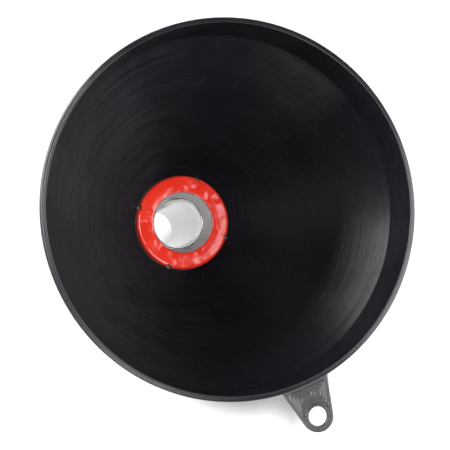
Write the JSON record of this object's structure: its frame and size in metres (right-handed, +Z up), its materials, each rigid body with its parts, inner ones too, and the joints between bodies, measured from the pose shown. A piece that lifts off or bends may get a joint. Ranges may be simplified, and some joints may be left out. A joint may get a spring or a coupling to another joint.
{
  "type": "funnel",
  "caption": "Large round pouring funnel with a straight collar, a hanging tab, and a metal spout held in its throat by a coloured retaining ring.",
  "frame": {"origin": "on the funnel's axis, at the flat lower end of the neck, where the funnel sits on a filler opening", "axes": "+Z up along the funnel's axis towards the mouth, +X from the axis towards the hanging tab"},
  "size_m": [0.2706, 0.24, 0.263],
  "materials": {
    "black_plastic": "satin moulded black plastic with fine turning lines inside",
    "red_plastic": "glossy red plastic",
    "black_rubber": "matt black rubber",
    "plated_steel": "dull zinc-plated steel",
    "bare_aluminium": "matt bare metal with a fine grain"
  },
  "bodies": {
    "bowl": {"bowl": "black_plastic"},
    "gasket": {"seat_gasket": "black_rubber"},
    "spout": {"spout_sleeve": "plated_steel", "spout_tube": "bare_aluminium"},
    "ring": {"retaining_ring": "red_plastic"}
  },
  "joints": [
    {"name": "spout_lift", "type": "slide", "parent": "bowl", "child": "gasket", "axis": [0, 0, 1], "range_m": [0, 0.27]},
    {"name": "spout_swivel", "type": "hinge", "parent": "gasket", "child": "spout", "pos_m": [0, 0, 0.0216], "axis": [0, 0, 1], "continuous": true},
    {"name": "ring_lift", "type": "slide", "parent": "gasket", "child": "ring", "axis": [0, 0, 1], "range_m": [0, 0.17]}
  ]
}
